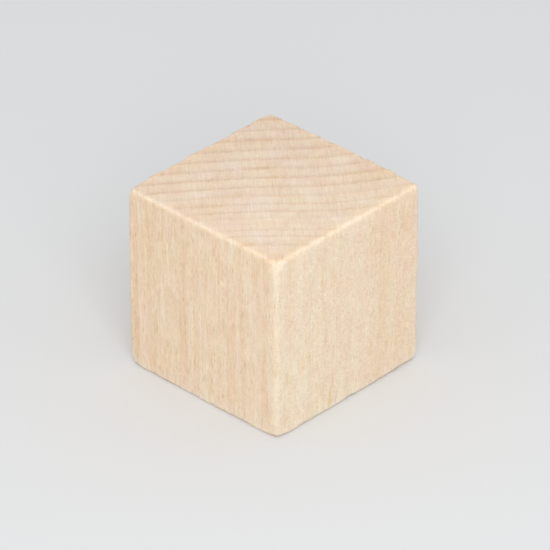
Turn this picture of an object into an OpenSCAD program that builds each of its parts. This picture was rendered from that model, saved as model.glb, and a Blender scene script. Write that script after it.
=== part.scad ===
// Plain hardwood cube, cut in one piece with the grain standing upright.
// The stock is planed with its four long edges eased, then cross-cut, and the rim of
// each sawn end is eased a little less, following the rounded plan round every corner.
// The origin is the centre of the underside, +Z runs with the grain, sizes are in mm.

/* [Block] */
// Width across the grain, left to right
block_w = 25; // [10:0.5:60]
// Depth across the grain, front to back
block_d = 25; // [10:0.5:60]
// Length with the grain, from one sawn end to the other
block_l = 25; // [10:0.5:60]

/* [Eased edges] */
// Radius of the four long edges, which run with the grain
long_edge_r = 0.85; // [0.7:0.05:3]
// Radius of the rims of the two sawn ends
end_edge_r = 0.55; // [0.2:0.05:0.65]

/* [Hidden] */
bare_wood = [0.92, 0.83, 0.72];
arc_facets = 96;

// The core lies between the centres of the long edges' arcs
core_w = block_w - 2 * long_edge_r;
core_d = block_d - 2 * long_edge_r;

// What one eased rim takes off the square corner of a section
module rim_waste() {
    difference() {
        square(end_edge_r);
        translate([0, end_edge_r]) circle(r = end_edge_r, $fn = arc_facets);
    }
}

// Upright section of the block's skin, from the core out to the planed face
module skin_section() {
    difference() {
        square([long_edge_r, block_l]);
        translate([long_edge_r - end_edge_r, 0]) rim_waste();
        translate([long_edge_r - end_edge_r, block_l]) mirror([0, 1]) rim_waste();
    }
}

// Skin behind one planed face, standing on the plane x = 0
module face_skin(face_width) {
    rotate([90, 0, 0]) linear_extrude(face_width, center = true) skin_section();
}

// Quarter-round column that turns the skin round one long edge
module edge_column() {
    rotate_extrude(angle = 90, $fn = arc_facets) skin_section();
}

module wooden_cube() {
    color(bare_wood) union() {
        translate([-core_w / 2, -core_d / 2, 0]) cube([core_w, core_d, block_l]);
        for (flip = [0, 1]) {
            mirror([flip, 0, 0]) translate([core_w / 2, 0, 0]) face_skin(core_d);
            mirror([0, flip, 0]) translate([0, core_d / 2, 0]) rotate(90) face_skin(core_w);
        }
        for (flip_x = [0, 1], flip_y = [0, 1])
            mirror([flip_x, 0, 0]) mirror([0, flip_y, 0])
                translate([core_w / 2, core_d / 2, 0]) edge_column();
    }
}

wooden_cube();
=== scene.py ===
from math import cos, hypot, pi, radians, sin

import bpy
from mathutils import Matrix, Vector


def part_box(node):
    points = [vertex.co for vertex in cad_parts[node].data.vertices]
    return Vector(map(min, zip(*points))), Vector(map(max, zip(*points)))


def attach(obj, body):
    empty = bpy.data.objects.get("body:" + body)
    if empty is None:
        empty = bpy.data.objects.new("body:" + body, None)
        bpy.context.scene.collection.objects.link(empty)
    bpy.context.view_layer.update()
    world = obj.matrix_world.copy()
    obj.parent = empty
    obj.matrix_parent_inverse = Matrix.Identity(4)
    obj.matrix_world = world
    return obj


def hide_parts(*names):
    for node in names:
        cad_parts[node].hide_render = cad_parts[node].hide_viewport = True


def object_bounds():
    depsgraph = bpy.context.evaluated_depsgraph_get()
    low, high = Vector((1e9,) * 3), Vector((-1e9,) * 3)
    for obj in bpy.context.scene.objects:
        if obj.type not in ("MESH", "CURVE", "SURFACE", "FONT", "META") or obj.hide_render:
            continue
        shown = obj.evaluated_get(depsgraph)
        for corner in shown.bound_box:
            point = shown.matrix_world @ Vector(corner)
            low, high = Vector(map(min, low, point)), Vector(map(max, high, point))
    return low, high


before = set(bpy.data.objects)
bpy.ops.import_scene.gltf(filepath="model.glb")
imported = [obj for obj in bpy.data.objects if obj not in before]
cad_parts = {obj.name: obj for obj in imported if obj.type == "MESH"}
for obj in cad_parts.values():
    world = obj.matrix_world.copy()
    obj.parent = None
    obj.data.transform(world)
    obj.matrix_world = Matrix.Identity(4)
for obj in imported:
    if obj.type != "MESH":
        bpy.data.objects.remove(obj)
cad_low, cad_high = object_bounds()
scene = bpy.context.scene
scene.view_settings.view_transform = "Standard"

# ---------------------------------------------------------------- camera
# A long lens well back from the cube, so that its upright edges stay nearly parallel.
# It looks down on the near long edge and sees both planed faces about alike.

CAMERA_AZIMUTH, CAMERA_ELEVATION, CAMERA_ROLL = 43.85, 32.3, -0.2  # degrees
CAMERA_DISTANCE, CAMERA_CLIP_START = 0.648, 0.01  # metres
CAMERA_LENS = 350  # mm
AIM_RIGHT, AIM_UP = 0.00015, -0.00013  # metres from the middle of the cube


def look_at(item, target, azimuth, elevation, distance, roll=0.0, shift=(0.0, 0.0)):
    """Puts a camera or a lamp into the scene, turned to its target, with angles in degrees."""
    azimuth, elevation = radians(azimuth), radians(elevation)
    back = Vector((sin(azimuth) * cos(elevation), -cos(azimuth) * cos(elevation), sin(elevation)))
    right = Vector((cos(azimuth), sin(azimuth), 0))
    up = back.cross(right)
    turn = Matrix((right, up, back)).transposed() @ Matrix.Rotation(radians(roll), 3, "Z")
    place = target + shift[0] * right + shift[1] * up + distance * back
    item.matrix_world = Matrix.Translation(place) @ turn.to_4x4()
    scene.collection.objects.link(item)


camera = bpy.data.objects.new("camera", bpy.data.cameras.new("camera"))
camera.data.lens = CAMERA_LENS
camera.data.clip_start = CAMERA_CLIP_START
look_at(camera, (cad_low + cad_high) / 2, CAMERA_AZIMUTH, CAMERA_ELEVATION, CAMERA_DISTANCE,
        CAMERA_ROLL, (AIM_RIGHT, AIM_UP))
scene.camera = camera

# ---------------------------------------------------------------- cube
# The block is one piece of bare pale hardwood, planed square, cross-cut and tumbled.
# Its grain stands upright: growth rings show on the two sawn ends, fibres and rays on
# the four planed faces, and the tumbling has rounded and burnished every edge. Their
# paler colour is partly painted highlight.

MM = 0.001
low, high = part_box("wooden_cube")

# Places are in mm: x from the left face to the right one and y from the front to the back,
# both from the middle, and z up from the underside. x - y grows towards the near upright
# edge and x + y towards the right one.
HALF, TOP = high.x / MM, high.z / MM


class Field:
    """A number that varies over the block: arithmetic on it adds Math nodes to its tree."""

    def __init__(self, tree, source):
        self.tree, self.source = tree, source

    def maths(self, operation, *others):
        """Result of a Math node on this field and the others."""
        node = self.tree.nodes.new("ShaderNodeMath")
        node.operation = operation
        for socket, term in zip(node.inputs, (self, *others)):
            feed(socket, term)
        return Field(self.tree, node.outputs[0])

    def __add__(self, other):
        return self.maths("ADD", other)

    def __sub__(self, other):
        return self.maths("SUBTRACT", other)

    def __rsub__(self, other):
        return (self * -1) + other

    def __mul__(self, other):
        return self.maths("MULTIPLY", other)

    def __truediv__(self, other):
        return self.maths("DIVIDE", other)

    def __abs__(self):
        return self.maths("ABSOLUTE")

    __radd__, __rmul__ = __add__, __mul__

    def least(self, other):
        return self.maths("MINIMUM", other)

    def most(self, other):
        return self.maths("MAXIMUM", other)

    def ramp(self, start, end):
        """Smooth step from 0 at start to 1 at end."""
        node = self.tree.nodes.new("ShaderNodeMapRange")
        node.interpolation_type = "SMOOTHSTEP"
        for socket, term in zip(node.inputs, (self, start, end, 0, 1)):
            feed(socket, term)
        return Field(self.tree, node.outputs[0])

    def hump(self, centre, width):
        """Bell curve that is 1 at centre and falls off over width."""
        away = (self - centre) / width
        return (away * away * -1).maths("EXPONENT")


def feed(socket, term):
    """Links a field or a socket to an input, or sets the input's own value."""
    term = getattr(term, "source", term)
    if isinstance(term, bpy.types.NodeSocket):
        socket.id_data.links.new(term, socket)
    else:
        socket.default_value = term


def feed_all(node, terms):
    """Feeds the named inputs of a node."""
    for name, term in terms.items():
        feed(node.inputs[name], term)


def add(tree, kind, terms=(), **settings):
    """Adds a node, sets it up and feeds its named inputs."""
    node = tree.nodes.new(kind)
    for name, value in settings.items():
        setattr(node, name, value)
    feed_all(node, dict(terms))
    return node


def split(tree, vector):
    """The three parts of a vector as fields."""
    parts = add(tree, "ShaderNodeSeparateXYZ", {"Vector": vector})
    return [Field(tree, socket) for socket in parts.outputs]


def join(tree, x, y, z):
    """A vector made of three fields or numbers."""
    return add(tree, "ShaderNodeCombineXYZ", {"X": x, "Y": y, "Z": z}).outputs[0]


def cloud(tree, spot, size, seed, detail=2.0, twist=0.0):
    """Soft noise, mostly within -1 to 1; size is its grain each way, in mm, and seed picks it."""
    vector = join(tree, *[part / span + seed for part, span in zip(spot, size)])
    made = add(tree, "ShaderNodeTexNoise",
               {"Vector": vector, "Scale": 1.0, "Detail": detail, "Distortion": twist})
    return (Field(tree, made.outputs[0]) - 0.5) * 6


def cells(tree, spot, size, seed):
    """Scattered points: how many cells off the nearest is, and a random number that is its own."""
    vector = join(tree, *[part / span + seed for part, span in zip(spot, size)])
    made = add(tree, "ShaderNodeTexVoronoi", {"Vector": vector, "Scale": 1.0})
    return Field(tree, made.outputs["Distance"]), split(tree, made.outputs["Color"])[0]


def new_group(name, kind, inputs, outputs):
    """A node group with named inputs, most with a value of their own, and named outputs."""
    tree = bpy.data.node_groups.new(name, kind)
    for label, (socket_kind, value) in inputs.items():
        socket = tree.interface.new_socket(label, in_out="INPUT", socket_type=socket_kind)
        if value is not None:
            socket.default_value = value
    for label, socket_kind in outputs.items():
        tree.interface.new_socket(label, in_out="OUTPUT", socket_type=socket_kind)
    given = tree.nodes.new("NodeGroupInput")
    result = tree.nodes.new("NodeGroupOutput")
    return tree, {socket.name: Field(tree, socket) for socket in given.outputs if socket.name}, result


# How the tree grew, in mm. Its heart stood well behind the block, so the rings cross
# the ends as long shallow arcs, with a slow wave and one bulge along them and the grain
# nearly plumb. A few lean years near the bark side lie closer together.
HEART = (-110.0, 77.0)
ACROSS = (0.743, -0.669)
GRAIN_LEAN = 0.018
WAVE_DEPTH, WAVE_LENGTH, WAVE_START, WAVE_SWELLING = 1.1, 56.0, 9.4, 0.02
BULGE, BULGE_AT, BULGE_LENGTH = 0.45, 6.1, 5.2
RING_WOBBLE = 0.055
FIRST_RING = -0.41
RINGS_PER_MM, RINGS_SLOWING = 0.49, 0.0024
LEAN_YEARS, LEAN_YEARS_AT, LEAN_YEARS_SPAN = 1.35, 11.8, 4.55


def growth(tree, spot):
    """Ring count, and in mm the places across and along the rings and the depth barkwards."""
    x, y, z = spot
    across = x * ACROSS[0] + y * ACROSS[1]
    along = x * -ACROSS[1] + y * ACROSS[0]
    east, north = x - HEART[0], y - HEART[1]
    depth = (east * east + north * north).maths("SQRT") - hypot(*HEART)
    depth = depth + (z - TOP) * GRAIN_LEAN
    wave = 1 - ((along + WAVE_START) * (2 * pi / WAVE_LENGTH)).maths("COSINE")
    depth = depth - wave * (1 + depth * WAVE_SWELLING) * WAVE_DEPTH
    depth = depth - along.hump(BULGE_AT, BULGE_LENGTH) * BULGE
    depth = depth + cloud(tree, spot, (1.7, 1.7, 8), seed=5, detail=3) * RING_WOBBLE - FIRST_RING
    lean_years = depth.hump(LEAN_YEARS_AT, LEAN_YEARS_SPAN) * LEAN_YEARS
    count = depth * RINGS_PER_MM + depth * depth * RINGS_SLOWING + lean_years
    return count, across, along, depth


def late_wood(count):
    """The year whose end is nearest, the years since that end, and how late the wood is, 0 to 1."""
    year = (count + 0.5).maths("FLOOR")
    season = count - year
    return year, season, season.ramp(-0.45, -0.04) * (1 - season.ramp(0.0, 0.2))


# The block's shape: a grid on a cube, with its own quads for the edges, that is laid over
# the rounded block.
SIDE_QUADS, UPRIGHT_QUADS, EDGE_QUADS = 130, 120, 7
LONG_EDGE_R, END_EDGE_R = 0.85, 0.55
UNWRAPPED_SHARE = 0.96  # of its cell, that a face fills in the flat layout

# Wear in mm below the evenly rounded block; where below 0, the wood is left fuller.
PLANING_RIPPLE = 0.03
RIM_SWELLS, LOW_RIGHT_RIM, FAR_RIM, FAR_RIGHT_RIM = 0.04, 0.06, 0.07, -0.1
LONG_EDGE_WAVES, LONG_EDGE_WEAR, CRISP_EDGE_WEAR = 0.04, -0.075, -0.065
TOWARDS_CORNERS, TAPER_LENGTH = 0.13, 2.0

# Radius of the worn corners in mm, and what is added to it at the left, near and far right.
CORNER_R, LEFT_MORE, NEAR_MORE, FAR_RIGHT_MORE = 1.3, 0.6, 1.0, -0.6

# Splinters torn up along the upright edges: place and how far each stands out, in mm.
SPLINTERS = (
    ((HALF, HALF, 16.4), 0.09), ((HALF, HALF, 15.3), 0.17), ((HALF, HALF, 12.9), 0.1),
    ((HALF, HALF, 10.1), 0.07), ((HALF, HALF, 6.3), 0.13), ((-HALF, -HALF, 9.6), 0.1),
    ((-HALF, -HALF, 13.9), 0.05), ((-HALF, HALF, 4.1), 0.12), ((-HALF, HALF, 18.6), 0.1),
)
SPLINTER_REACH, SPLINTER_FLATNESS = 0.25, 1.5

shape, sizes, shape_result = new_group(
    "block_shape", "GeometryNodeTree",
    {
        "Width": ("NodeSocketFloat", None),
        "Depth": ("NodeSocketFloat", None),
        "Length": ("NodeSocketFloat", None),
        "Long edge radius": ("NodeSocketFloat", LONG_EDGE_R * MM),
        "End edge radius": ("NodeSocketFloat", END_EDGE_R * MM),
        "Quads a side": ("NodeSocketInt", SIDE_QUADS),
        "Quads upright": ("NodeSocketInt", UPRIGHT_QUADS),
        "Quads in an edge": ("NodeSocketInt", EDGE_QUADS),
        "Ring relief": ("NodeSocketFloat", 0.02),
        "Rim steps": ("NodeSocketFloat", 0.32),
        "Corner wear": ("NodeSocketFloat", 0.45),
        "Nicks": ("NodeSocketFloat", 0.15),
        "Splinters": ("NodeSocketFloat", 1.0),
        "Material": ("NodeSocketMaterial", None),
    },
    {"Geometry": "NodeSocketGeometry"},
)
block_mm = [sizes[name] / MM for name in ("Width", "Depth", "Length")]
radius_mm = [sizes[name] / MM for name in ("Long edge radius", "Long edge radius", "End edge radius")]
quads = [sizes[name] for name in ("Quads a side", "Quads a side", "Quads upright")]


def own(tree, kind):
    """The mesh's own position or normal, as three fields."""
    return split(tree, tree.nodes.new(kind).outputs[0])


def grid_spot(tree):
    """How far out a point of the grid cube is, on the flat part and past it, each -1 to 1."""
    place = own(tree, "GeometryNodeInputPosition")
    flat, beyond = [], []
    for at, count in zip(place, quads):
        share = 1 - 2 * sizes["Quads in an edge"] / count
        side = at.maths("SIGN")
        flat.append(abs(at).least(share) / share * side)
        beyond.append((abs(at) - share).most(0) / (1 - share) * side)
    return flat, beyond


def rounded_block(tree):
    """Where each point of the grid cube goes on the rounded block, in metres."""
    flat, beyond = grid_spot(tree)
    core = [at * (size / 2 - r) for at, size, r in zip(flat, block_mm, radius_mm)]
    beyond = [at * r for at, r in zip(beyond, radius_mm)]
    # plan: squares round each long edge's centre become circles
    out = abs(beyond[0]).most(abs(beyond[1]))
    across = (beyond[0] * beyond[0] + beyond[1] * beyond[1]).maths("SQRT").most(1e-6)
    # section: the same for the rim of each sawn end
    inner = out.least(radius_mm[0] - radius_mm[2])
    rim = out - inner
    rise = abs(beyond[2])
    stretch = rim.most(rise) / (rim * rim + rise * rise).maths("SQRT").most(1e-6)
    reach = (inner + rim * stretch) / across
    x = core[0] + beyond[0] * reach
    y = core[1] + beyond[1] * reach
    z = core[2] + beyond[2] * stretch + block_mm[2] / 2
    return join(tree, x * MM, y * MM, z * MM)


def unwrapped(tree):
    """Flat layout of the six faces in three columns and two rows, true to their arcs."""
    flat, beyond = grid_spot(tree)
    spread = []
    for at, past, size, r in zip(flat, beyond, block_mm, radius_mm):
        whole = size / 2 - r + r * (pi / 4)
        spread.append((at * (size / 2 - r) + past * r * (pi / 4)) / whole)
    normal = tree.nodes.new("GeometryNodeInputNormal").outputs[0]
    by_face = add(tree, "GeometryNodeFieldOnDomain", {"Value": normal},
                  data_type="FLOAT_VECTOR", domain="FACE")
    facing = split(tree, by_face.outputs[0])
    on_x, on_y, on_z = [abs(part).maths("GREATER_THAN", 0.5) for part in facing]
    positive = (facing[0] + facing[1] + facing[2]).maths("GREATER_THAN", 0)
    upright = spread[2] * (1 - on_z) + spread[0] * on_z
    sideways = spread[1] * (on_x + on_z) + spread[0] * on_y
    column = on_y + on_z * 2
    return join(tree, (column + 0.5 + upright * UNWRAPPED_SHARE / 2) / 3,
                (positive + 0.5 + sideways * UNWRAPPED_SHARE / 2) / 2, 0)


def face_gaps(spot):
    """Distances in mm from a spot to the block's nearest side faces and end."""
    return [block_mm[0] / 2 - abs(spot[0]), block_mm[1] / 2 - abs(spot[1]),
            block_mm[2] / 2 - abs(spot[2] - block_mm[2] / 2)]


def to_long_edge(gaps):
    """Distance in mm to the nearest upright edge, along a face."""
    return gaps[0].most(gaps[1])


def to_end_rim(gaps):
    """Distance in mm to the nearest edge of a sawn end, along a face."""
    return gaps[0].least(gaps[1]).most(gaps[2])


def length(x, y, z):
    """Length of a vector of three fields."""
    return (x * x + y * y + z * z).maths("SQRT")


def fading(distance, reach):
    """1 at no distance, and less the further off."""
    return (distance / -reach).maths("EXPONENT")


def on_far_side(spot):
    """1 on the far side of the block and 0 on the near one."""
    return (spot[1] - spot[0]).ramp(-8, 10)


def on_foot(spot):
    """1 at the foot of the block and 0 from 3 mm up."""
    return 1 - spot[2].ramp(1.0, 3.0)


def face_wear(tree, spot, on_end):
    """Early wood rubbed lower than late wood on the ends, and the planing's ripple on the faces."""
    count, *_ = growth(tree, spot)
    *_, late = late_wood(count)
    ripple = cloud(tree, spot, (0.7, 0.7, 9), seed=3, detail=3).ramp(-2, 2) * PLANING_RIPPLE
    return (1 - late) * on_end * sizes["Ring relief"] + ripple * (1 - on_end)


def rim_wear(tree, spot, to_corner):
    """Rims of the sawn ends: worn in soft swells, and torn out in steps on the far and low sides."""
    far, low = on_far_side(spot), on_foot(spot)
    right = (spot[0] + spot[1]).ramp(-10, 10)
    swells = cloud(tree, spot, (3.0, 3.0, 3.0), seed=11, detail=2) * RIM_SWELLS
    worn = low * right * LOW_RIGHT_RIM + far * (1 - low) * (FAR_RIM + right * FAR_RIGHT_RIM)
    # fully on the far side, about half at the foot and more so to the right, else a little
    torn = far.most(low * (right * 0.3 + 0.3)) * 0.85 + 0.15
    _, chance = cells(tree, spot, (1.8, 1.8, 1.8), seed=3)
    steps = (chance - 0.5) * to_corner.ramp(0.8, 2.5)
    return swells + worn + steps * torn * sizes["Rim steps"]


def long_edge_wear(tree, spot):
    """Upright edges: a slow wave, and less wear on the upper part of the crisp near one."""
    crisp = (spot[0] - spot[1]).ramp(18, 24) * (spot[2].ramp(14, 20) * 0.8 + 0.2)
    waves = cloud(tree, spot, (5, 5, 3.5), seed=27, detail=2) * LONG_EDGE_WAVES
    return waves + LONG_EDGE_WEAR + crisp * CRISP_EDGE_WEAR


def corner_wear(spot, gaps, to_corner):
    """Rounds each corner to a ball: bigger at the left and near ones, smaller far right."""
    left = 1 - (spot[0] + spot[1]).ramp(-22, -6)
    near = (spot[0] - spot[1]).ramp(17, 2 * HALF)
    far_right = (spot[0] + spot[1]).ramp(-8, 8) * spot[2].ramp(TOP - 10, TOP)
    radius = left * LEFT_MORE + near * NEAR_MORE + far_right * FAR_RIGHT_MORE + CORNER_R
    # how much farther off the ball's centre is than the axis of the nearest edge
    reach = length(*[(radius - gap).most(0) for gap in gaps])
    rest = (radius - to_corner).most(0)
    cap = reach - (reach * reach - rest * rest).most(0).maths("SQRT")
    return cap * (1 + near * spot[2].ramp(0, TOP)) * sizes["Corner wear"]


def nicks(tree, spot, to_edge):
    """Small dents scattered along the edges, deeper on the far and low sides."""
    gap, chance = cells(tree, spot, (1.5, 1.5, 1.9), seed=0)
    rough = on_far_side(spot).most(on_foot(spot))
    dents = gap.ramp(0.42, 0.1) * chance.ramp(0.55, 0.9) * fading(to_edge, 0.3)
    return dents * (rough * 0.7 + 0.3) * sizes["Nicks"]


def splinters(spot):
    """How far the torn splinters stand out."""
    standing = 0
    for (x, y, z), height in SPLINTERS:
        away = length(spot[0] - x, spot[1] - y, (spot[2] - z) * SPLINTER_FLATNESS)
        standing = away.hump(SPLINTER_REACH, SPLINTER_REACH) * height + standing
    return standing * sizes["Splinters"]


def wear(tree, spot):
    """How deep each point of the rounded block is worn, in mm; below 0 it stands out."""
    gaps = face_gaps(spot)
    long_edge, end_rim = to_long_edge(gaps), to_end_rim(gaps)
    on_end = 1 - gaps[2].ramp(0.0, 0.5)
    on_rim = 1 - end_rim.ramp(0.15, 0.65)
    on_long_edge = 1 - long_edge.ramp(0.25, 0.95)
    to_corner = gaps[0].most(gaps[1]).most(gaps[2])
    tapered = fading(to_corner, TAPER_LENGTH) * on_rim.most(on_long_edge) * TOWARDS_CORNERS
    return (face_wear(tree, spot, on_end)
            + rim_wear(tree, spot, to_corner) * on_rim
            + long_edge_wear(tree, spot) * on_long_edge
            + corner_wear(spot, gaps, to_corner) + tapered
            + nicks(tree, spot, end_rim.least(long_edge))
            - splinters(spot))


def stored(tree, geometry, name, kind, domain, value):
    """Keeps a value on the mesh under a name."""
    return add(tree, "GeometryNodeStoreNamedAttribute",
               {"Geometry": geometry, "Name": name, "Value": value},
               data_type=kind, domain=domain).outputs[0]


grid = add(shape, "GeometryNodeMeshCube", {
    "Size": (2, 2, 2),
    "Vertices X": sizes["Quads a side"] + 1,
    "Vertices Y": sizes["Quads a side"] + 1,
    "Vertices Z": sizes["Quads upright"] + 1,
}).outputs["Mesh"]
grid = stored(shape, grid, "OFBake", "FLOAT2", "CORNER", unwrapped(shape))
block = add(shape, "GeometryNodeSetPosition",
            {"Geometry": grid, "Position": rounded_block(shape)}).outputs[0]
facing = own(shape, "GeometryNodeInputNormal")
point = [part / MM for part in own(shape, "GeometryNodeInputPosition")]
gaps = face_gaps(point)
for name, value in (
    ("end_grain", abs(facing[2]).ramp(0.3, 0.9)),
    ("right_or_left", abs(facing[0]).ramp(0.3, 0.9)),
    ("to_long_edge", to_long_edge(gaps)),
    ("to_end_rim", to_end_rim(gaps)),
    ("to_corner", gaps[0] + gaps[1] + gaps[2] * 0.6),
):
    block = stored(shape, block, name, "FLOAT", "POINT", value)
worn_by = wear(shape, point)
x, y, z = [(at - way * worn_by) * MM for at, way in zip(point, facing)]
# nothing stands out past the sawn size
x = x.least(sizes["Width"] / 2).most(sizes["Width"] / -2)
y = y.least(sizes["Depth"] / 2).most(sizes["Depth"] / -2)
z = z.least(sizes["Length"]).most(0)
block = add(shape, "GeometryNodeSetPosition",
            {"Geometry": block, "Position": join(shape, x, y, z)}).outputs[0]
block = add(shape, "GeometryNodeSetShadeSmooth", {"Geometry": block}).outputs[0]
block = add(shape, "GeometryNodeRealizeInstances", {"Geometry": block}).outputs[0]
block = add(shape, "GeometryNodeSetMaterial",
            {"Geometry": block, "Material": sizes["Material"]}).outputs[0]
feed_all(shape_result, {"Geometry": block})

# Bare wood. The pale early wood of each ring darkens into a thin late-wood line; rays
# cross the rings as thin upright sheets, and vessels run with the grain. TINTS says how
# much red, green and blue light one measure of each tint takes away.
PALE_WOOD = (0.85, 0.69, 0.53)
TINTS = {
    "Brown": (0.15, 0.20, 0.255),
    "Yellow": (0.0, 0.012, 0.06),
    "Pink": (0.0, 0.022, 0.012),
}

# Roughness of the dry wood, and its pores and fibres: depth in mm, and how much they show.
BARE_ROUGHNESS = 0.66
PORE_DEPTH, PORE_STRENGTH = 0.02, 0.7

# Years whose wood turned amber, or stayed paler where below 0: depth in mm and strength.
AMBER_YEARS = (
    (-13.2, 0.6), (-9.2, 0.9), (-4.8, 0.5), (-1.3, 1.0), (-0.2, -0.5), (0.8, 0.7),
    (3.0, 0.2), (5.1, 0.8), (6.8, 0.3), (7.4, -0.3), (8.5, 0.4), (10.1, 0.25),
    (11.4, 0.4), (13.0, 0.2), (15.4, 0.8),
)
AMBER_WIDTH = 0.55

# Years with a faint late-wood line: depth, reach and the share of the line that is lost.
# One more patch has its place and reach along the rings too.
FAINT_YEARS = ((7.8, 1.7, 0.9), (2.7, 1.4, 0.35))
FAINT_PATCH_DEPTH, FAINT_PATCH_ALONG, FAINT_PATCH_LOSS = (-4.5, 2.5), (4.5, 4.5), 0.35

# The late-wood line, in years: where it lies from a year's end, its width, its raggedness.
LATE_LINE_AT, LATE_LINE_WIDTH, RAGGEDNESS = -0.03, 0.075, 0.03

# Stains: place across the rings, along them and upright, reach each way, all in mm, then
# measures of brown, yellow and pink, which are below 0 where the wood is bleached.
STAINS = (
    ((11.2, 6.3, 4.0), (0.2, 0.6, 1.4), (0.35, 1.4, 2.4)),
    ((11.5, 5.9, 1.7), (0.25, 0.6, 1.5), (0.5, 2.0, 3.2)),
    ((-4.3, -1.2, TOP), (0.35, 1.2, 0.8), (0.45, 0.6, 0.5)),
    ((-2.0, 0.4, TOP), (0.3, 0.6, 0.6), (0.1, 1.8, 1.8)),
    ((-4.2, -11.8, TOP), (1.0, 1.3, 3.0), (0.15, 1.0, 1.6)),
    ((4.0, -8.9, TOP), (1.3, 2.6, 4.0), (0.12, 1.0, 1.2)),
    ((-10.7, -2.3, TOP), (1.4, 1.4, 3.0), (0.2, 0.3, 0.3)),
    ((-1.8, 10.6, TOP), (1.6, 1.6, 3.0), (0.12, 1.0, 0.8)),
    ((10.9, -6.9, 18.4), (0.35, 0.35, 0.35), (-0.95, 0.8, -0.6)),
)

rings, ring_given, ring_result = new_group(
    "growth_rings", "ShaderNodeTree",
    {"Spot": ("NodeSocketVector", None)},
    dict.fromkeys(("Season", "Late line", "Amber", "Heartward", "Across", "Along", *TINTS),
                  "NodeSocketFloat"),
)
in_block = split(rings, ring_given["Spot"])
count, across, along, depth = growth(rings, in_block)
in_rings = (across, along, in_block[2])
ragged = cloud(rings, in_rings, (0.22, 0.22, 0.9), seed=17) * RAGGEDNESS
year, season, late = late_wood(count + ragged)
by_year = Field(rings, add(rings, "ShaderNodeTexWhiteNoise", {"W": year + 3},
                           noise_dimensions="1D").outputs[0])
clear = 1
for at, reach, lost in FAINT_YEARS:
    clear = clear - depth.hump(at, reach) * lost
faint_patch = depth.hump(*FAINT_PATCH_DEPTH) * along.hump(*FAINT_PATCH_ALONG)
strength = (by_year * 0.3 + 0.85) * clear * (1 - faint_patch * FAINT_PATCH_LOSS)
beads = cloud(rings, in_rings, (3.0, 0.9, 1.6), seed=1, detail=1).ramp(-1.0, 1.5)
fading_in = cloud(rings, in_rings, (3.0, 3.0, 7.0), seed=14, detail=2).ramp(-1.6, 1.2)
amber = 0
for at, turned in AMBER_YEARS:
    amber = depth.hump(at, AMBER_WIDTH) * turned + amber
stained = [0, 0, 0]
for place, reaches, measures in STAINS:
    away = length(*[(at - centre) / reach for at, centre, reach in zip(in_rings, place, reaches)])
    stained = [away.hump(0, 1) * measure + stain for measure, stain in zip(measures, stained)]
feed_all(ring_result, dict(zip(TINTS, stained)))
feed_all(ring_result, {
    "Season": late * strength * (1 - depth.ramp(-6, 8) * 0.25),
    "Late line": season.hump(LATE_LINE_AT, LATE_LINE_WIDTH) * strength * (beads * 0.8 + 0.25),
    "Amber": amber * (fading_in * 0.4 + 0.6),
    "Heartward": depth.ramp(14, -16),
    "Across": across,
    "Along": along,
})

figure, figure_given, figure_result = new_group(
    "rays_and_fibres", "ShaderNodeTree",
    dict.fromkeys(("Across", "Along", "Upright"), ("NodeSocketFloat", 0.0)),
    dict.fromkeys(("Flecks", "Rays", "Fibres", "Vessels", "Fuzz"), "NodeSocketFloat"),
)
in_figure = [figure_given[name] for name in ("Across", "Along", "Upright")]
fleck_gap, fleck_chance = cells(figure, in_figure, (3.6, 0.36, 1.5), seed=0)
vessel_gap, vessel_chance = cells(figure, in_figure, (0.30, 0.30, 1.7), seed=9)
feed_all(figure_result, {
    "Flecks": fleck_gap.ramp(0.34, 0.1) * fleck_chance.ramp(0.35, 1.0),
    "Rays": cloud(figure, in_figure, (2.6, 0.15, 0.9), seed=2, detail=1),
    "Fibres": cloud(figure, in_figure, (0.25, 0.25, 2.4), seed=4, detail=3),
    "Vessels": vessel_gap.ramp(0.38, 0.1) * vessel_chance.ramp(0.4, 1.0),
    "Fuzz": cloud(figure, in_figure, (0.24, 0.24, 0.30), seed=6, detail=1, twist=1.0),
})

wood = bpy.data.materials.new("bare_wood")
wood.use_nodes = True
shader = wood.node_tree
spot = [part / MM for part in split(shader, add(shader, "ShaderNodeTexCoord").outputs["Object"])]


def kept(name):
    """A value kept on the mesh."""
    return Field(shader, add(shader, "ShaderNodeAttribute", attribute_name=name).outputs["Fac"])


def placed(group, terms):
    """Outputs of a node group placed in the wood."""
    node = add(shader, "ShaderNodeGroup", terms, node_tree=group)
    return {socket.name: Field(shader, socket) for socket in node.outputs}


# Where the surface lies in the wood: sawn ends, front and back with plain figure, and the
# sides with their own figure and tint. The sides' tint is partly a painted sheen, full on the right
# side and weaker on the left.
end_grain = kept("end_grain")
long_grain = 1 - end_grain
side_figure_and_sheen = kept("right_or_left") * (spot[0].ramp(-9, 9) * 0.65 + 0.35)
ring = placed(rings, {"Spot": join(shader, *spot)})
grain_spot = (ring["Across"], ring["Along"], spot[2])
grain = placed(figure, {"Across": ring["Across"], "Along": ring["Along"], "Upright": spot[2]})


def on(ends, front, sides):
    """How much of something shows on the sawn ends, on front and back, and on the sides."""
    return end_grain * ends + long_grain * (side_figure_and_sheen * (sides - front) + front)


def patches(size, seed, detail, twist=0.0):
    """Soft patches in the wood, of a size in mm across the rings, along them and upright."""
    return cloud(shader, grain_spot, size, seed, detail, twist)


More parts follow.
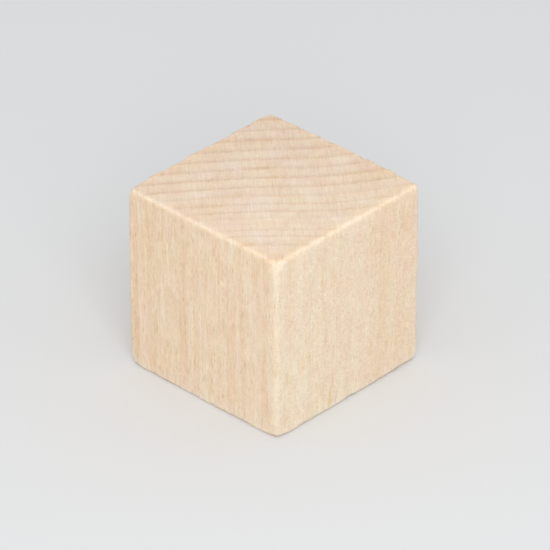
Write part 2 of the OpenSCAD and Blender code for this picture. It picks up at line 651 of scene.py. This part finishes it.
# The figures that differ from place to place. The sanding left fine strokes on a slant.
SLANT_COS, SLANT_SIN = 0.9, 0.44
level = spot[0] + spot[1]
slanted = (level * SLANT_COS - spot[2] * SLANT_SIN, level * SLANT_SIN + spot[2] * SLANT_COS,
           spot[0] - spot[1])
sanding = cloud(shader, slanted, (1.2, 0.24, 0.8), seed=61, detail=2, twist=0.6)
stripes = patches((0.5, 0.5, 16.0), seed=53, detail=2)
specks = patches((0.6, 0.6, 0.8), seed=57, detail=2, twist=1.5)
drift = patches((5, 5, 9), seed=67, detail=1)
front_streaks = patches((0.7, 0.7, 3.5), seed=43, detail=3)
front_clouds = patches((2.8, 3.4, 7.0), seed=47, detail=2)
side_clouds = patches((2.6, 3.2, 5.0), seed=41, detail=2)
mottle = patches((1.3, 1.0, 1.6), seed=31, detail=3)
blush = patches((1.0, 1.6, 4.0), seed=37, detail=3) * (1 + end_grain * (ring["Heartward"] * 0.7 - 0.3))

# What each figure adds to plain wood, in measures of brown, yellow and pink. Each measure
# is given for the ends, for front and back, and for the sides.
# On the sides the plain wood is browner and less yellow and pink than front and back: partly a painted
# sheen.
PLAIN = ((-0.2, 0.1, 0.03), (0.5, 1.05, 0.3), (0.8, 0.4, -0.8))
NONE = (0, 0, 0)
figures = (
    # what goes with the rings
    (ring["Heartward"], (0.4, 0.18, 0.18), (0, 1.1, 2.3), (0, 1.6, 5.0)),
    (ring["Season"], (0.42, 0.08, 0.08), NONE, NONE),
    (ring["Late line"], (0.4, 0.16, 0.16), NONE, (0.9, 0.9, 0.9)),
    (ring["Amber"], (0, 0.25, 0.2), (0, 0.9, 0.9), (0, 0.8, 0.8)),
    # rays, vessels and fibres, and the fuzz and fine strokes that the sanding left
    (grain["Flecks"], (0.35, 0.75, 0.55), NONE, NONE),
    (grain["Vessels"], (0.1, 0.7, 0.45), NONE, NONE),
    (grain["Rays"], (0.22, 0.18, 0.15), NONE, NONE),
    (grain["Fibres"], (0, 0.23, 0.07), NONE, NONE),
    (grain["Fuzz"], (0.21, 0.2, 0.29), NONE, NONE),
    (sanding, (0, 0.036, 0.16), NONE, NONE),
    # uneven colour of the wood itself
    (stripes, (0, 0.1, 0.04), (0, 0.4, 0.16), (0, 0.4, 0.16)),
    (specks, (0, 0, 0.09), NONE, NONE),
    (drift, (0.1, 0, 0), (0.25, 0, 0), (0.6, 0, 0)),
    (front_streaks, NONE, (0.5, 0.5, 0.6), NONE),
    (front_clouds, NONE, (0.75, 0.35, 0.35), NONE),
    (side_clouds, NONE, NONE, (0.8, 0.4, 0.6)),
    (mottle, (0.15, 0.15, 0.15), NONE, NONE),
    (blush, NONE, (0, 0.3, 0.3), (0.9, 1.2, 1.2)),
    # slow changes: the ends yellower to the right, the faces warmer upwards
    (spot[0], NONE, (0.03, 0, 0), NONE),
    (spot[2] / TOP - 0.5, NONE, (0, 0.5, 0.5), (0, 0.8, 1.3)),
)

# Along the edges, in measures of brown, yellow and pink: partly wear from handling and tumbling,
# partly painted highlights and painted shade on the lit edges and corners.
long_edge, end_rim, tip = kept("to_long_edge"), kept("to_end_rim"), kept("to_corner").hump(0, 1.1)
edge = fading(long_edge.least(end_rim), 0.3)
upper, lower = spot[2].ramp(TOP - 5, TOP - 1), 1 - spot[2].ramp(3, 6)
near_edge = (spot[0] - spot[1]).ramp(20, 24) * long_grain
far_edges = long_grain - near_edge
front_rim = (1 - spot[1].ramp(0.3 - HALF, 1.3 - HALF)) * upper * (1 - side_figure_and_sheen)
halo = end_rim.hump(0.8, 0.9) * end_grain
edge_wear_and_painted_light = (
    # the rims: a bright arris, partly burnished and partly painted highlight; paler strips beside it,
    # painted highlight; a cooler tint at the foot, painted against the warm light the floor bounces
    # up; warm patches inside
    (edge * end_grain * (1 - front_rim * 0.3), -0.85, 0.95, -1.2),
    (front_rim * end_rim.hump(0.2, 0.35) * long_grain, -0.3, 0.5, 0),
    (end_rim.hump(0, 1.5) * side_figure_and_sheen * upper, -0.2, 0, 0),
    (end_rim.hump(0.3, 0.9) * end_grain, -0.12, 0, 0),
    (end_rim.hump(0, 1.0) * long_grain * lower, 0, -2.0, -2.2),
    (halo, 0, 0.1, 0.2),
    (halo * patches((1.6, 1.6, 4.0), seed=51, detail=2).ramp(-1.2, 1.2), 0, 1.2, 1.5),
    # corners: a paler, warmer patch, painted highlight that widens the lit corners
    (tip * long_grain, -0.55, 0.8, 1.2),
    # the upright edges, paler and less yellow and pink, and most of all the outer ones
    (long_edge.hump(0, 1.0) * long_grain * spot[0].ramp(-14, -8), 0, -0.7, -0.8),
    (long_edge.hump(0, 0.8) * far_edges, -0.4, -1.5, -1.5),
    (long_edge.hump(0, 1.2) * far_edges * side_figure_and_sheen, 0.4, 0, 0),
    # the near upright edge: a darker arris, wider on the right face, painted shade that dims the
    # lamp's highlight there; then paler strips on both faces, painted highlight
    (long_edge.hump(0, 0.5) * near_edge, 0.3, 0, 0),
    (long_edge.hump(0.5, 0.3) * near_edge * side_figure_and_sheen, 0.25, 0, 0),
    (long_edge.hump(0.75, 0.45) * near_edge * (1 - side_figure_and_sheen), -0.25, 0, 0),
    ((spot[0] - spot[1]).hump(2 * HALF, 2.0) * side_figure_and_sheen, -0.16, 0, 0),
)

stains = [on(*amounts) + ring[tint] for amounts, tint in zip(PLAIN, TINTS)]
for shown, *measures in figures:
    stains = [stain + shown * on(*amounts) if any(amounts) else stain
              for stain, amounts in zip(stains, measures)]
for shown, *measures in edge_wear_and_painted_light:
    stains = [stain + shown * amount if amount else stain for stain, amount in zip(stains, measures)]


def tinted(channel):
    """Share of one colour that the stained wood sends back."""
    taken = 0
    for stain, tint in zip(stains, TINTS.values()):
        taken = stain * tint[channel] + taken
    return (1 - taken) * PALE_WOOD[channel]


colour = add(shader, "ShaderNodeCombineColor",
             {"Red": tinted(0), "Green": tinted(1), "Blue": tinted(2)})
height = (grain["Fuzz"] * 0.3 - grain["Flecks"] * 0.5 - grain["Vessels"] * long_grain
          - grain["Fibres"] * long_grain * 0.35 + ring["Late line"] * 0.5)
bump = add(shader, "ShaderNodeBump",
           {"Strength": PORE_STRENGTH, "Distance": PORE_DEPTH * MM, "Height": height})
feed_all(shader.nodes["Principled BSDF"], {
    "Base Color": colour.outputs[0],
    "Roughness": BARE_ROUGHNESS + mottle * 0.02 - ring["Late line"] * 0.08 - edge * 0.12,
    "Normal": bump.outputs[0],
})


def grown(name, tree, values):
    """A plain mesh made by a node tree with these input values."""
    seed = bpy.data.objects.new(name + "_seed", bpy.data.meshes.new(name))
    scene.collection.objects.link(seed)
    modifier = seed.modifiers.new("shape", "NODES")
    modifier.node_group = tree
    for item in tree.interface.items_tree:
        if item.in_out == "INPUT" and item.name in values:
            modifier[item.identifier] = values[item.name]
    evaluated = seed.evaluated_get(bpy.context.evaluated_depsgraph_get())
    mesh = bpy.data.meshes.new_from_object(evaluated)
    mesh.name = name
    mesh.materials.pop(index=0)  # the seed's own empty slot
    seed.modifiers.remove(modifier)
    bpy.data.objects.remove(seed)
    piece = bpy.data.objects.new(name, mesh)
    scene.collection.objects.link(piece)
    return piece


cube = grown("cube", shape, {
    "Width": high.x - low.x,
    "Depth": high.y - low.y,
    "Length": high.z - low.z,
    "Material": wood,
})
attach(cube, "root")
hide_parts("wooden_cube")

# ---------------------------------------------------------------- floor and light
# The cube stands on pale seamless paper under an even white sky, with one large soft
# lamp beside the camera.

PAPER = (0.77, 0.78, 0.79, 1)
PAPER_ROUGHNESS = 0.9
PAPER_REACH = 2.0  # metres each way
WHITE = (1, 1, 1, 1)
SKY_STRENGTH = 0.75
LAMP_AZIMUTH, LAMP_ELEVATION = 47, 37  # degrees
LAMP_TARGET = Vector((0, 0, 0.012))  # metres, as are the next two
LAMP_DISTANCE, LAMP_DIAMETER = 0.45, 0.3
LAMP_WATTS = 0.88

corners = [(x * PAPER_REACH, y * PAPER_REACH, 0) for x, y in ((-1, -1), (1, -1), (1, 1), (-1, 1))]
floor_mesh = bpy.data.meshes.new("floor")
floor_mesh.from_pydata(corners, [], [(0, 1, 2, 3)])
floor = bpy.data.objects.new("floor", floor_mesh)
scene.collection.objects.link(floor)
paper = bpy.data.materials.new("floor_paper")
paper.use_nodes = True
feed_all(paper.node_tree.nodes["Principled BSDF"],
         {"Base Color": PAPER, "Roughness": PAPER_ROUGHNESS, "Specular IOR Level": 0.0})
floor_mesh.materials.append(paper)

# The sky lights the cube white, but what is seen of it, directly or in gloss, is paper.
world = bpy.data.worlds.new("studio")
world.use_nodes = True
sky = world.node_tree
rays = {socket.name: Field(sky, socket) for socket in add(sky, "ShaderNodeLightPath").outputs}
seen = rays["Is Camera Ray"] + rays["Is Glossy Ray"] + rays["Is Transmission Ray"]
backdrop = add(sky, "ShaderNodeMixRGB", {"Fac": seen, "Color1": WHITE, "Color2": PAPER})
feed_all(sky.nodes["Background"], {"Color": backdrop.outputs[0], "Strength": SKY_STRENGTH})
scene.world = world

lamp = bpy.data.lights.new("front_softbox", "AREA")
lamp.shape = "DISK"
lamp.size = LAMP_DIAMETER
lamp.energy = LAMP_WATTS
softbox = bpy.data.objects.new("front_softbox", lamp)
look_at(softbox, LAMP_TARGET, LAMP_AZIMUTH, LAMP_ELEVATION, LAMP_DISTANCE)
